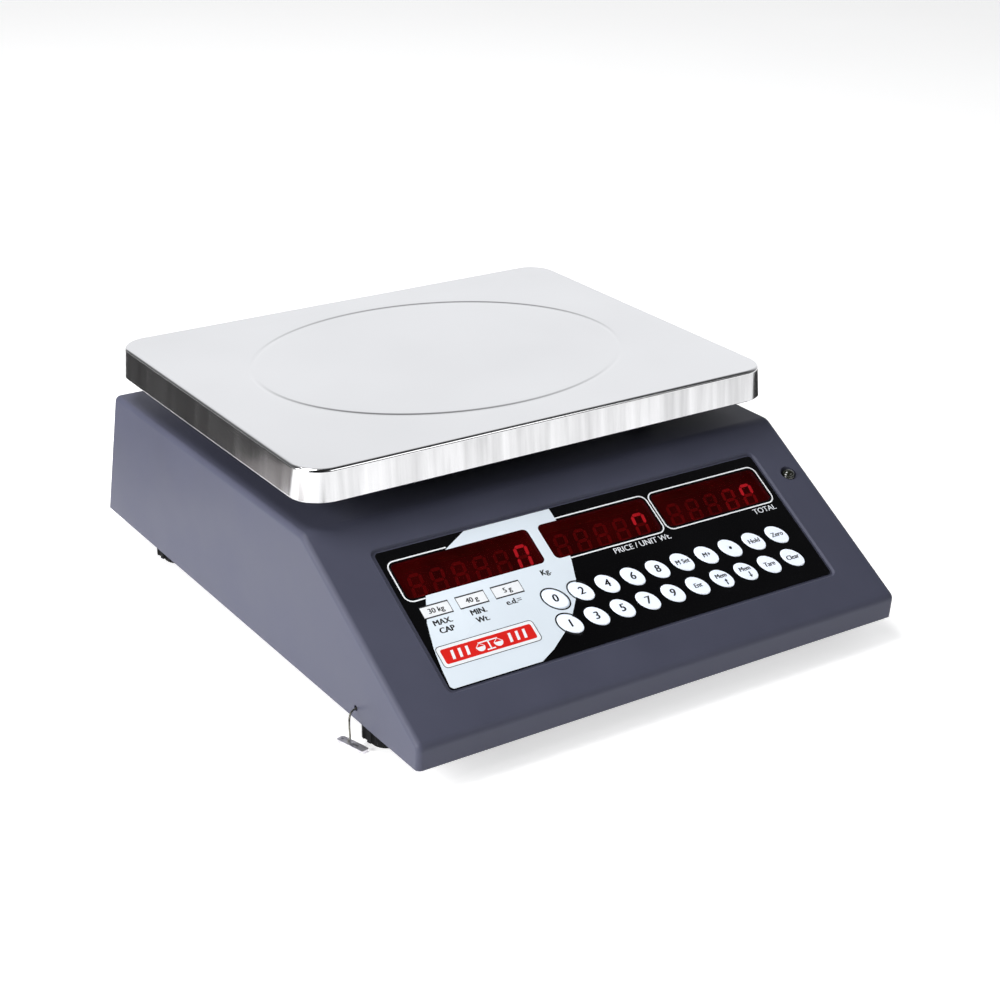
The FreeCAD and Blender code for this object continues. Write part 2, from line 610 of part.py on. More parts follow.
# ------------------------------------------------------------------ base and feet
def base_tray():
    """The cast base: floor, rim, foot bosses, board pillars and load cell pads."""
    cy = PLATTER_CENTRE_Y
    half = TRAY_HALF_WIDTH
    body = box((-half, half), TRAY_Y, (TRAY_BOTTOM, TRAY_RIM_TOP))
    well_y = (TRAY_Y[0] + TRAY_RIM, TRAY_Y[1] - TRAY_RIM)
    well = box((TRAY_RIM - half, half - TRAY_RIM), well_y, (TRAY_TOP, TRAY_RIM_TOP + 1))
    parts = [body.cut(well)]
    parts += [rod(FOOT_BOSS_RADIUS, TRAY_TOP - 1, TRAY_TOP + INSERT_HEIGHT, x, y) for x, y in FEET.values()]
    parts.append(box((-72.0, -28.0), (cy - 15, cy + 15), (TRAY_TOP - 1, TRAY_TOP + PAD_RISE)))
    parts.append(box((40.0, 60.0), (cy - 10, cy + 10), (TRAY_TOP - 1, TRAY_TOP + PAD_RISE)))
    parts += [rod(3.5, TRAY_TOP - 1, TRAY_TOP + PILLAR_HEIGHT, x, y) for x, y in PILLARS]

    cuts = [rod(STUD_RADIUS + 0.6, TRAY_BOTTOM - 1, TRAY_TOP + 1, x, y) for x, y in FEET.values()]
    cuts += [rod(INSERT_RADIUS, TRAY_TOP, TRAY_TOP + INSERT_HEIGHT + 1, x, y) for x, y in FEET.values()]
    for x, y in CASE_SCREWS:
        cuts.append(rod(SCREW_HOLE_RADIUS, TRAY_BOTTOM - 1, TRAY_TOP + 1, x, y))
        cuts.append(rod(SCREW_HEAD_RADIUS + 0.3, TRAY_BOTTOM - 1, TRAY_BOTTOM + 1.7, x, y))
    for x in CELL_BOLTS_X:
        cuts.append(rod(BOLT_HOLE_RADIUS, TRAY_BOTTOM - 1, TRAY_TOP + PAD_RISE + 1, -x, cy))
        head_room = TRAY_BOTTOM + 0.3 + BOLT_HEAD_HEIGHT
        cuts.append(rod(BOLT_HEAD_RADIUS + 0.3, TRAY_BOTTOM - 1, head_room, -x, cy))
    cuts.append(rod(BOLT_RADIUS + RUNNING_GAP, TRAY_BOTTOM - 1, TRAY_TOP + PAD_RISE + 1, 50.0, cy))
    cuts += [rod(SCREW_CORE_RADIUS, TRAY_TOP + 0.5, TRAY_TOP + PILLAR_HEIGHT + 1, x, y) for x, y in PILLARS]
    for i in range(7):
        place = (-30.0 + 10 * i, 130.0)
        cuts.append(rounded_plate(place, (4.0, 34.0), 1.9, TRAY_BOTTOM - 1, TRAY_TOP + 1))
    # The rim is open behind the hole for the sealing wire.
    cuts.append(box((-half - 1, -half + TRAY_RIM + 1), (SEAL_HOLE_Y - 4, SEAL_HOLE_Y + 4),
                    (TRAY_TOP, TRAY_RIM_TOP + 1)))
    return joined(parts).cut(united(cuts))


def foot_inserts():
    """Brass nuts set into the foot bosses."""
    inserts = []
    for x, y in FEET.values():
        body = rod(INSERT_RADIUS, TRAY_TOP, TRAY_TOP + INSERT_HEIGHT, x, y)
        bore = rod(STUD_RADIUS + RUNNING_GAP, TRAY_TOP - 1, TRAY_TOP + INSERT_HEIGHT + 1, x, y)
        inserts.append(body.cut(bore))
    return group(inserts)


def foot_wheel(x, y):
    """The fluted hand wheel of a levelling foot, moulded round its stud."""
    low = FOOT_PAD_HEIGHT
    wheel = rod(FOOT_WHEEL_RADIUS, low + FOOT_CONE_HEIGHT, FOOT_WHEEL_TOP, x, y)
    cone = Part.makeCone(FOOT_PAD_RADIUS, FOOT_WHEEL_RADIUS - 0.6, FOOT_CONE_HEIGHT, Vector(x, y, low))
    flutes = []
    for i in range(FLUTES):
        angle = 2 * math.pi * i / FLUTES
        reach = FOOT_WHEEL_RADIUS + FLUTE_RADIUS / 3
        place = (x + reach * math.cos(angle), y + reach * math.sin(angle))
        flutes.append(rod(FLUTE_RADIUS, low - 1, FOOT_WHEEL_TOP + 1, *place))
    grip = joined([wheel, cone]).cut(united(flutes))
    return joined([grip, rod(STUD_RADIUS, FOOT_WHEEL_TOP - 1, STUD_TOP, x, y)])


def foot_pad(x, y):
    """The rubber pad under a levelling foot."""
    pad = rod(FOOT_PAD_RADIUS, 0, FOOT_PAD_HEIGHT, x, y)
    rim = [e for e in pad.Edges if e.BoundBox.ZMax < 0.01]
    return pad.makeChamfer(0.6, rim)


# ------------------------------------------------------------------ electronics and power
def main_board():
    """The main circuit board on its four pillars."""
    low = MAIN_BOARD_TOP - BOARD_THICK
    board = box((19.0, 131.0), (-98.0, -24.0), (low, MAIN_BOARD_TOP))
    holes = [rod(SCREW_HOLE_RADIUS, low - 1, low + 3, x, y) for x, y in PILLARS]
    return board.cut(united(holes))


def board_parts():
    """Chips, capacitors and connectors on the main board."""
    top = MAIN_BOARD_TOP
    chips = (((40, 54), (-76, -62), 2.5), ((66, 84), (-80, -70), 3.0), ((66, 76), (-58, -48), 2.0),
             ((34, 46), (-50, -42), 7.0), ((100, 112), (-90, -82), 7.0), ((96, 122), (-46, -36), 9.0))
    parts = [box(x, y, (top, top + height)) for x, y, height in chips]
    parts += [rod(5.0, top, top + 14, 104, -62), rod(4.0, top, top + 11, 116, -66)]
    return group(parts)


def screw(place, seat, reach):
    """A self-tapping screw whose head lies under z = seat and whose core reaches up from it."""
    head = rod(SCREW_HEAD_RADIUS, seat - SCREW_HEAD_HEIGHT, seat, *place)
    return joined([head, rod(SCREW_CORE_RADIUS, seat - 1, seat + reach, *place)])


def case_screws():
    """The self-tapping screws of the base, the display board and the main board."""
    screws = [screw(place, TRAY_BOTTOM + 1.7, SCREW_GRIP + 2) for place in CASE_SCREWS]
    screws += [on_slope(screw(place, BOARD_FACE - BOARD_THICK, SCREW_GRIP)) for place in BOARD_SCREWS]
    for x, y in PILLARS:
        head = rod(SCREW_HEAD_RADIUS, MAIN_BOARD_TOP, MAIN_BOARD_TOP + SCREW_HEAD_HEIGHT, x, y)
        core = rod(SCREW_CORE_RADIUS, MAIN_BOARD_TOP - SCREW_GRIP, MAIN_BOARD_TOP + 1, x, y)
        screws.append(joined([head, core]))
    return group(screws)


def battery():
    """The sealed lead battery with its two tab terminals."""
    top = TRAY_TOP + BATTERY_HEIGHT
    parts = [box(BATTERY_X, BATTERY_Y, (TRAY_TOP, top))]
    parts += [box((x, x + 5), (BATTERY_Y[0] + 5, BATTERY_Y[0] + 6), (top, top + 6)) for x in (-125.0, -82.0)]
    return joined(parts)


def battery_strap():
    """The bent steel strap over the battery."""
    y = (-28.0, -12.0)
    thick = 1.5
    top = TRAY_TOP + BATTERY_HEIGHT
    outer = box((BATTERY_X[0] - thick, BATTERY_X[1] + thick), y, (TRAY_TOP, top + thick))
    bent = outer.cut(box(BATTERY_X, (y[0] - 1, y[1] + 1), (TRAY_TOP - 1, top)))
    feet = [box(x, y, (TRAY_TOP, TRAY_TOP + thick)) for x in ((-144.0, -134.5), (-63.5, -53.0))]
    return joined([bent] + feet)


def transformer():
    """The laminated mains transformer with its coil and foot strap."""
    core = box((79.0, 119.0), (88.0, 122.0), (TRAY_TOP + 1.5, TRAY_TOP + 36))
    coil = box((86.0, 112.0), (81.0, 129.0), (TRAY_TOP + 8, TRAY_TOP + 30))
    strap = box((70.0, 124.0), (98.0, 112.0), (TRAY_TOP, TRAY_TOP + 1.5))
    return joined([core, coil, strap])


def power_inlet():
    """The mains inlet: a flanged socket with three flat pins."""
    cx, cz = INLET_CENTRE
    face = REAR_POCKET_FLOOR_Y
    flange = box((cx - 17, cx + 17), (face, face + 2), (cz - 13, cz + 13))
    body = box((cx - 13.5, cx + 13.5), (face - 20, face + 1), (cz - 10, cz + 10))
    socket = box((cx - 12, cx + 12), (face - 16, face + 3), (cz - 8, cz + 8))
    parts = [joined([flange, body]).cut(socket)]
    for dx, dz in ((-7, -2), (0, 2), (7, -2)):
        parts.append(box((cx + dx - 2, cx + dx + 2), (face - 17, face - 4), (cz + dz - 1, cz + dz + 1)))
        parts.append(box((cx + dx - 2.4, cx + dx + 2.4), (face - 27, face - 19), (cz - 0.4, cz + 0.4)))
    return joined(parts)


def power_switch():
    """The switch's housing, open at the front for the rocker."""
    cx, cz = SWITCH_CENTRE
    face = REAR_POCKET_FLOOR_Y
    parts = [box((cx - 12.4, cx + 12.4), (face, face + 1.5), (cz - 8.6, cz + 8.6))]
    parts.append(box((cx - 10.5, cx + 10.5), (face - 14, face + 1), (cz - 7.5, cz + 7.5)))
    for dx in (-6, 0, 6):
        parts.append(box((cx + dx - 0.4, cx + dx + 0.4), (face - 21, face - 13.5), (cz - 2.4, cz + 2.4)))
    well = box((cx - 9.4, cx + 9.4), (face - 9, face + 3), (cz - 6.3, cz + 6.3))
    bore = cross_rod(1.0 + RUNNING_GAP, (cx, face - 1, cz), 14.4, (0, 0, 1))
    return joined(parts).cut(well).cut(bore)


def power_rocker():
    """The rocker, tipped to its off side, with its axle."""
    outline = ((-8.2, 0, -6), (-8.2, 4.4, -6), (0, 2.6, -6), (8.2, 4.4, -6), (8.2, 0, -6), (0, -3.4, -6))
    body = flat_face(outline).extrude(Vector(0, 0, 12))
    rocker = joined([body, Part.makeCylinder(1.0, 14.0, Vector(0, 0, -7))])
    pivot = Vector(SWITCH_CENTRE[0], REAR_POCKET_FLOOR_Y - 1, SWITCH_CENTRE[1])
    rocker.Placement = Placement(pivot, Rotation(Vector(0, 0, 1), ROCKER_TILT))
    return rocker


def inner_leads():
    """The leads inside: load cell, mains and low voltage."""
    cell = ((-50, 28.3, 34), (-50, 20, 33.5), (-48.5, 11, 29), (-44, 1, 22.5), (-36, -10, 19),
            (-24, -22, 18.5), (-10, -33, 20), (8, -43.5, 25.6), (21, -46, 27.2), (34, -46, 27.4))
    mains = ((61, 139, 40), (61, 132, 39.5), (64, 124, 36), (70, 118, 33), (79, 115, 32))
    low_voltage = ((99, 81, 32), (99, 70, 30), (102, 54, 24), (106, 36, 19.5), (109, 18, 18.5),
                   (110, 0, 19), (110, -12, 23.5), (109.5, -22, 27.5), (109, -36, 28.5))
    return group([
        tube_along(cell, 2.0, "load cell lead"),
        tube_along(mains, 2.5, "mains lead"),
        tube_along(low_voltage, 2.0, "low voltage lead"),
    ])


# ------------------------------------------------------------------ wire seal
SEAL_ROUTE = (
    (-146.5, SEAL_HOLE_Y, SEAL_HOLE_Z),
    (-151.3, -122.9, 18.6),
    (-155.2, -125.5, 18.8),
    (-157.9, -129.0, 16.9),
    (-158.7, -130.7, 12.6),
    (-157.8, -129.5, 8.2),
    (-156.4, -126.6, 4.9),
    (-155.3, -123.6, 2.8),
    (-154.8, -121.4, 1.3),
)


def seal_wire():
    """The sealing wire from the hole in the left wall down to its tag."""
    return tube_along(SEAL_ROUTE, SEAL_WIRE_RADIUS, "seal wire")


def seal_tag():
    """The flat metal tag that closes the sealing wire."""
    length, width, thick = SEAL_TAG_SIZE
    tag = rounded_plate((0, 0), (length, width), 1.2, 0, thick)
    for along, slot_length, slot_width in SEAL_TAG_SLOTS:
        slot_x = (along - slot_length / 2, along + slot_length / 2)
        tag = tag.cut(box(slot_x, (-slot_width / 2, slot_width / 2), (thick / 3, thick + 1)))
    tag.Placement = Placement(Vector(*SEAL_TAG_CENTRE, 0), Rotation(Vector(0, 0, 1), SEAL_TAG_TURN))
    return tag


# ------------------------------------------------------------------ all nodes
def all_nodes():
    """Every node's name and shape."""
    makers = (
        top_cover, base_tray, panel_overlay, display_windows, membrane_circuit, snap_domes, display_board,
        level_vial, platter, platform_spider, platter_bumpers, load_cell, cell_base_spacer, cell_base_bolts,
        cell_top_bolts, overload_stop, foot_inserts, main_board, board_parts, case_screws, battery,
        battery_strap, transformer, power_inlet, power_switch, power_rocker, inner_leads, seal_wire, seal_tag,
    )
    nodes = {make.__name__: make() for make in makers}
    for name, count, centre in DIGIT_GROUPS:
        nodes[name] = digit_blocks(count, centre)
    for name, x, s in KEYS:
        nodes[name] = key(x, s)
    for name, place in FEET.items():
        nodes["foot_wheel_" + name] = foot_wheel(*place)
        nodes["foot_pad_" + name] = foot_pad(*place)
    return nodes


os.makedirs("parts", exist_ok=True)
for node, shape in all_nodes().items():
    if not shape.isValid() or not shape.Solids:
        print("not a sound solid:", node)
    shape.exportStep("parts/%s.step" % node)
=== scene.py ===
import json
import math

import bmesh
import bpy
from mathutils import Matrix, Vector


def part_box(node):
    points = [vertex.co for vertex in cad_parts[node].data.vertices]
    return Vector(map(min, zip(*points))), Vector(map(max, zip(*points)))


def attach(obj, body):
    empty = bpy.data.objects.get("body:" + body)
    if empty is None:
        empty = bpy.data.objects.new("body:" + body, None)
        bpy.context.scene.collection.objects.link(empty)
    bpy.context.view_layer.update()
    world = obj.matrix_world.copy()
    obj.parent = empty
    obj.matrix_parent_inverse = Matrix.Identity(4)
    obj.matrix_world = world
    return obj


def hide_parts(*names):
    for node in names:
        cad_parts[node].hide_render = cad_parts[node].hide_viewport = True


# A bench counting scale. Lengths in this script's panel and platter tables are in millimetres.
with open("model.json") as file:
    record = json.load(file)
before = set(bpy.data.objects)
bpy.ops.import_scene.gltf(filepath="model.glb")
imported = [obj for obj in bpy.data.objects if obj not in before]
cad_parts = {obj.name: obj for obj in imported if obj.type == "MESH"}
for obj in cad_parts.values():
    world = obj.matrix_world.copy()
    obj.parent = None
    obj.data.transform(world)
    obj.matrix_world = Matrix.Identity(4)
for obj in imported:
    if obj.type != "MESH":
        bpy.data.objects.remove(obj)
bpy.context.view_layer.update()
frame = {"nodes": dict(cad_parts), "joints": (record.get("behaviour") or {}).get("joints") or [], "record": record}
MM = 0.001


# ------------------------------------------------------------------ camera, light and floor
def add_camera():
    """The camera, aimed at the scale from its front left and a little above."""
    azimuth = math.radians(-33.539)
    elevation = math.radians(23.729)
    roll = math.radians(0.6007)
    target = Vector((0.0, -0.02117, 0.05667))
    distance = 1.10736
    back = Vector((
        math.sin(azimuth) * math.cos(elevation),
        -math.cos(azimuth) * math.cos(elevation),
        math.sin(elevation),
    ))
    side = (-back).cross(Vector((0, 0, 1))).normalized()
    up = side.cross(-back)
    right = side * math.cos(roll) + up * math.sin(roll)
    above = up * math.cos(roll) - side * math.sin(roll)
    data = bpy.data.cameras.new("camera")
    data.lens = 71.40
    data.sensor_width = 36.0
    data.clip_start = 0.05
    camera = bpy.data.objects.new("camera", data)
    bpy.context.scene.collection.objects.link(camera)
    camera.matrix_world = Matrix((
        (right.x, above.x, back.x, 0),
        (right.y, above.y, back.y, 0),
        (right.z, above.z, back.z, 0),
        (0, 0, 0, 1),
    ))
    camera.location = target + back * distance
    bpy.context.scene.camera = camera


add_camera()


# ------------------------------------------------------------------ materials
def node_of(tree, kind, **values):
    """A shader node with its properties set."""
    node = tree.nodes.new(kind)
    for name, value in values.items():
        setattr(node, name, value)
    return node


def coordinates(tree, stretch):
    """Object coordinates, scaled along each axis."""
    where = node_of(tree, "ShaderNodeTexCoord")
    mapping = node_of(tree, "ShaderNodeMapping")
    mapping.inputs["Scale"].default_value = stretch
    tree.links.new(where.outputs["Object"], mapping.inputs["Vector"])
    return mapping.outputs["Vector"]


def noise(tree, vector, scale, detail=3.0, rough=0.5):
    """A noise texture's value."""
    texture = node_of(tree, "ShaderNodeTexNoise")
    texture.inputs["Scale"].default_value = scale
    texture.inputs["Detail"].default_value = detail
    texture.inputs["Roughness"].default_value = rough
    tree.links.new(vector, texture.inputs["Vector"])
    return texture.outputs["Fac"]


def spread(tree, value, low, high, start=0.3, end=0.7):
    """A value stretched to run from low to high."""
    ranged = node_of(tree, "ShaderNodeMapRange")
    ranged.inputs["From Min"].default_value = start
    ranged.inputs["From Max"].default_value = end
    ranged.inputs["To Min"].default_value = low
    ranged.inputs["To Max"].default_value = high
    tree.links.new(value, ranged.inputs["Value"])
    return ranged.outputs["Result"]


def surface(name, color, rough=(0.4, 0.5), metallic=0.0, vary=0.12, mottle=40.0, grain=900.0, bump=0.06,
            depth=0.0001, stretch=(1, 1, 1), **sockets):
    """A procedural material: mottled colour, uneven roughness and a fine grain."""
    material = bpy.data.materials.new(name)
    material.use_nodes = True
    tree = material.node_tree
    shader = tree.nodes["Principled BSDF"]
    vector = coordinates(tree, stretch)
    patches = noise(tree, vector, mottle)
    fine = noise(tree, vector, grain, 2.0)
    ramp = node_of(tree, "ShaderNodeValToRGB")
    for stop, at, share in zip(ramp.color_ramp.elements, (0.3, 0.7), (1 - vary, 1 + vary)):
        stop.position = at
        stop.color = [min(1.0, c * share) for c in color[:3]] + [1.0]
    tree.links.new(patches, ramp.inputs["Fac"])
    tree.links.new(ramp.outputs["Color"], shader.inputs["Base Color"])
    tree.links.new(spread(tree, patches, rough[0], rough[1]), shader.inputs["Roughness"])
    relief = node_of(tree, "ShaderNodeBump")
    relief.inputs["Strength"].default_value = bump
    relief.inputs["Distance"].default_value = depth
    tree.links.new(fine, relief.inputs["Height"])
    tree.links.new(relief.outputs["Normal"], shader.inputs["Normal"])
    shader.inputs["Metallic"].default_value = metallic
    for socket, value in sockets.items():
        shader.inputs[socket.replace("_", " ")].default_value = value
    return material


def glowing(name, color, strength):
    """A segment's material: uneven glow over a tinted plastic. On unlit segments the glow is painted light."""
    material = surface(name, color, rough=(0.5, 0.6), mottle=120.0, vary=0.25)
    shader = material.node_tree.nodes["Principled BSDF"]
    ramp = next(n for n in material.node_tree.nodes if n.type == "VALTORGB")
    material.node_tree.links.new(ramp.outputs["Color"], shader.inputs["Emission Color"])
    shader.inputs["Emission Strength"].default_value = strength
    return material


LOOKS = {
    "case_plastic": surface("case_plastic", (0.064, 0.067, 0.101), rough=(0.42, 0.52), vary=0.05, mottle=25.0,
                            grain=1400.0, bump=0.10, depth=0.0002, Specular_IOR_Level=0.22),
    "tray_metal": surface("tray_metal", (0.10, 0.10, 0.11), rough=(0.45, 0.6), metallic=0.3, grain=700.0,
                          bump=0.2),
    "panel_print": surface("panel_print", (0.0025, 0.0025, 0.003), rough=(0.14, 0.2), vary=0.2, mottle=15.0,
                           grain=400.0, bump=0.01, Specular_IOR_Level=0.3),
    # The key caps glow faintly: painted light that brightens them.
    "key_cap": surface("key_cap", (0.82, 0.88, 0.97), rough=(0.35, 0.42), vary=0.02, mottle=60.0, bump=0.05,
                       Emission_Color=(0.85, 0.90, 1.0, 1.0), Emission_Strength=0.22),
    "circuit_film": surface("circuit_film", (0.55, 0.40, 0.14), rough=(0.2, 0.3)),
    "stainless": surface("stainless", (0.80, 0.80, 0.81), rough=(0.12, 0.20), metallic=1.0, vary=0.04,
                         mottle=9.0, grain=260.0, bump=0.012, stretch=(1, 1, 0.06)),
    # The outer skirt's steel is a darker copy of the pan's: painted shade that tones down its reflection. Its fine
    # upright streaks stand for brush marks.
    "stainless_skirt_shaded": surface("stainless_skirt_shaded", (0.64, 0.64, 0.65), rough=(0.10, 0.20), metallic=1.0,
                               vary=0.18, mottle=150.0, grain=500.0, bump=0.01, stretch=(1, 1, 0.03)),
    # Painted shade: a dark copy of the pan's steel for its underside and the inside of its skirt, which also
    # darkens the deck beneath.
    "stainless_shaded_inside": surface("stainless_shaded_inside", (0.07, 0.07, 0.075), rough=(0.4, 0.6), metallic=0.6,
                                vary=0.10, mottle=60.0),
    "circuit_board": surface("circuit_board", (0.02, 0.16, 0.06), rough=(0.3, 0.45), vary=0.25, mottle=150.0),
    "cast_aluminium": surface("cast_aluminium", (0.55, 0.55, 0.56), rough=(0.4, 0.55), metallic=0.9,
                              bump=0.25),
    "rubber": surface("rubber", (0.008, 0.008, 0.008), rough=(0.6, 0.75), grain=1200.0, bump=0.2,
                      Specular_IOR_Level=0.15),
    "steel": surface("steel", (0.50, 0.50, 0.51), rough=(0.25, 0.4), metallic=1.0),
    "brass": surface("brass", (0.72, 0.52, 0.22), rough=(0.25, 0.4), metallic=1.0),
    "black_plastic": surface("black_plastic", (0.004, 0.004, 0.005), rough=(0.4, 0.55), grain=1200.0,
                             bump=0.12, Specular_IOR_Level=0.10),
    "battery_plastic": surface("battery_plastic", (0.045, 0.045, 0.05), rough=(0.45, 0.6), bump=0.12),
    "iron": surface("iron", (0.09, 0.075, 0.06), rough=(0.4, 0.6), metallic=0.6, stretch=(1, 12, 1)),
    "digit_plastic": surface("digit_plastic", (0.012, 0.004, 0.004), rough=(0.4, 0.5)),
    "seal_steel": surface("seal_steel", (0.16, 0.155, 0.13), rough=(0.3, 0.45), metallic=0.8, vary=0.6,
                          mottle=700.0),
    "seal_alloy": surface("seal_alloy", (0.62, 0.61, 0.64), rough=(0.3, 0.5), metallic=1.0, vary=0.2,
                          mottle=300.0),
    "red_filter": surface("red_filter", (0.042, 0.0004, 0.0006), rough=(0.10, 0.14), vary=0.35, mottle=45.0,
                          grain=300.0, bump=0.01, Specular_IOR_Level=0.12, Alpha=0.6),
    "vial": surface("vial", (0.014, 0.016, 0.011), rough=(0.10, 0.16), vary=0.3, mottle=400.0,
                    Specular_IOR_Level=0.8, Alpha=0.97),
}
# White print; its faint glow is painted light that brightens it.
WHITE_INK_PAINTED_GLOW = surface("white_ink_painted_glow", (0.80, 0.82, 0.84), rough=(0.3, 0.4), vary=0.03,
                    Emission_Color=(0.9, 0.92, 1.0, 1.0), Emission_Strength=0.12)
# Black print, also used as painted shade in the seal tag's slots.
BLACK_INK_AND_SHADE = surface("black_ink_and_shade", (0.012, 0.012, 0.014), rough=(0.25, 0.35), vary=0.1)
RED_INK = surface("red_ink", (0.72, 0.012, 0.008), rough=(0.3, 0.4), vary=0.05)
SEGMENTS = {
    # Unlit segments glow faintly too: painted light where light would reflect off them.
    0: glowing("segment_unlit_painted_glow", (0.30, 0.006, 0.008), 0.62),
    1: glowing("segment_dim", (0.55, 0.010, 0.014), 0.80),
    2: glowing("segment_lit", (0.95, 0.022, 0.035), 2.2),
}
for row in frame["record"]["subparts"]:
    shown = frame["nodes"][row["node"]]
    shown.data.materials.clear()
    shown.data.materials.append(LOOKS[row["material_slot"]])


# ------------------------------------------------------------------ building helpers
def add_mesh(name, mesh, material, body, smooth=False):
    """Links a mesh as a piece that rides on a CAD body."""
    piece = bpy.data.objects.new(name, mesh)
    bpy.context.scene.collection.objects.link(piece)
    mesh.materials.clear()
    mesh.materials.append(material)
    for polygon in mesh.polygons:
        polygon.use_smooth = smooth
    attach(piece, body)
    return piece


def mesh_of(name, points, faces):
    """A mesh from its corner points and faces, with normals turned outwards."""
    mesh = bpy.data.meshes.new(name)
    mesh.from_pydata([tuple(p) for p in points], [], faces)
    work = bmesh.new()
    work.from_mesh(mesh)
    bmesh.ops.remove_doubles(work, verts=work.verts, dist=1e-8)
    bmesh.ops.recalc_face_normals(work, faces=work.faces)
    work.to_mesh(mesh)
    work.free()
    return mesh


# The slope's own coordinates: x across the scale, s up the slope, lift out of the overlay's face.
KEY_DOWN = next(Vector(j["axis"]) for j in frame["joints"] if j["name"] == "key_0_press").normalized()
OUT = -KEY_DOWN
UPHILL = Vector((0, -KEY_DOWN.z, KEY_DOWN.y))
OVERLAY_LOW_S = 24.4
OVERLAY_THICK = 0.5
overlay_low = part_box("panel_overlay")[0]
FACE_ORIGIN = Vector((0, overlay_low.y, overlay_low.z + OVERLAY_THICK * MM * OUT.z))
SLOPE_TURN = Matrix(((1, 0, 0), (0, UPHILL.y, OUT.y), (0, UPHILL.z, OUT.z)))


def panel(x, s, lift=0.0):
    """A point on the sloping panel, in metres."""
    return FACE_ORIGIN + Vector((x * MM, 0, 0)) + UPHILL * ((s - OVERLAY_LOW_S) * MM) + OUT * (lift * MM)


def decal_mesh(name, loops, lift, thick=0.03):
    """Flat printed shapes on the panel: each loop is one outline of (x, s) points.

    The lift is how far the print's back stands off the overlay. Print over print gets a higher one.
    """
    work = bmesh.new()
    for loop in loops:
        bottom = [work.verts.new(panel(x, s, lift)) for x, s in loop]
        top = [work.verts.new(panel(x, s, lift + thick)) for x, s in loop]
        work.faces.new(top)
        for i in range(len(loop)):
            j = (i + 1) % len(loop)
            work.faces.new((bottom[i], bottom[j], top[j], top[i]))
    bmesh.ops.triangulate(work, faces=[f for f in work.faces if len(f.verts) > 4])
    bmesh.ops.recalc_face_normals(work, faces=work.faces)
    mesh = bpy.data.meshes.new(name)
    work.to_mesh(mesh)
    work.free()
    return mesh


def arc(cx, cy, radius, start, end, steps=8):
    """Points along an arc, angles in degrees."""
    angles = [math.radians(start + (end - start) * i / steps) for i in range(steps + 1)]
    return [(cx + radius * math.cos(a), cy + radius * math.sin(a)) for a in angles]


def rectangle(x0, x1, s0, s1):
    """A rectangle's outline, from its lower left."""
    return [(x0, s0), (x1, s0), (x1, s1), (x0, s1)]


def rounded(x0, x1, s0, s1, corner, steps=8):
    """A rounded rectangle's outline, anticlockwise from its lower right."""
    points = arc(x1 - corner, s0 + corner, corner, -90, 0, steps)
    points += arc(x1 - corner, s1 - corner, corner, 0, 90, steps)
    points += arc(x0 + corner, s1 - corner, corner, 90, 180, steps)
    return points + arc(x0 + corner, s0 + corner, corner, 180, 270, steps)


def ribbon(points, width, closed=True):
    """The outline quads of a line of that width along a path."""
    count = len(points)
    sides = []
    for i, (x, s) in enumerate(points):
        ahead = points[(i + 1) % count] if closed or i < count - 1 else points[i]
        behind = points[i - 1] if closed or i else points[i]
        dx, ds = ahead[0] - behind[0], ahead[1] - behind[1]
        length = math.hypot(dx, ds)
        nx, ns = -ds / length * width / 2, dx / length * width / 2
        sides.append(((x + nx, s + ns), (x - nx, s - ns)))
    runs = range(count if closed else count - 1)
    return [(sides[i][0], sides[i][1], sides[(i + 1) % count][1], sides[(i + 1) % count][0]) for i in runs]


def legend_mesh(text, x, s, size, lift, bold=0.0, squeeze=1.0):
    """Printed characters on the panel, centred on a point. Bold ones are printed twice, side by side."""
    curve = bpy.data.curves.new("legend", "FONT")
    curve.body = text
    curve.size = size * MM
    curve.align_x = "CENTER"
    curve.align_y = "CENTER"
    curve.extrude = 0.012 * MM
    curve.resolution_u = 3
    holder = bpy.data.objects.new("legend", curve)
    bpy.context.scene.collection.objects.link(holder)
    bpy.context.view_layer.update()
    mesh = bpy.data.meshes.new_from_object(holder.evaluated_get(bpy.context.evaluated_depsgraph_get()))
    bpy.data.objects.remove(holder)
    bpy.data.curves.remove(curve)
    mesh.transform(Matrix.Diagonal((squeeze, 1, 1, 1)))
    twin = mesh.copy()
    for copy, way in ((mesh, -1), (twin, 1)):
        copy.transform(Matrix.Translation(panel(x + way * bold / 2, s, lift)) @ SLOPE_TURN.to_4x4())
    if bold:
        return merge("legend", [mesh, twin])
    bpy.data.meshes.remove(twin)
    return mesh


def merge(name, meshes):
    """One mesh out of several."""
    work = bmesh.new()
    for mesh in meshes:
        work.from_mesh(mesh)
        bpy.data.meshes.remove(mesh)
    made = bpy.data.meshes.new(name)
    work.to_mesh(made)
    work.free()
    return made


# ------------------------------------------------------------------ sealing wire and tag
SEAL_ROUTE = (
    (-146.5, -122.7, 18.5),
    (-151.3, -122.9, 18.6),
    (-155.2, -125.5, 18.8),
    (-157.9, -129.0, 16.9),
    (-158.7, -130.7, 12.6),
    (-157.8, -129.5, 8.2),
    (-156.4, -126.6, 4.9),
    (-155.3, -123.6, 2.8),
    (-154.8, -121.4, 1.3),
)
SEAL_RADIUS = 0.5


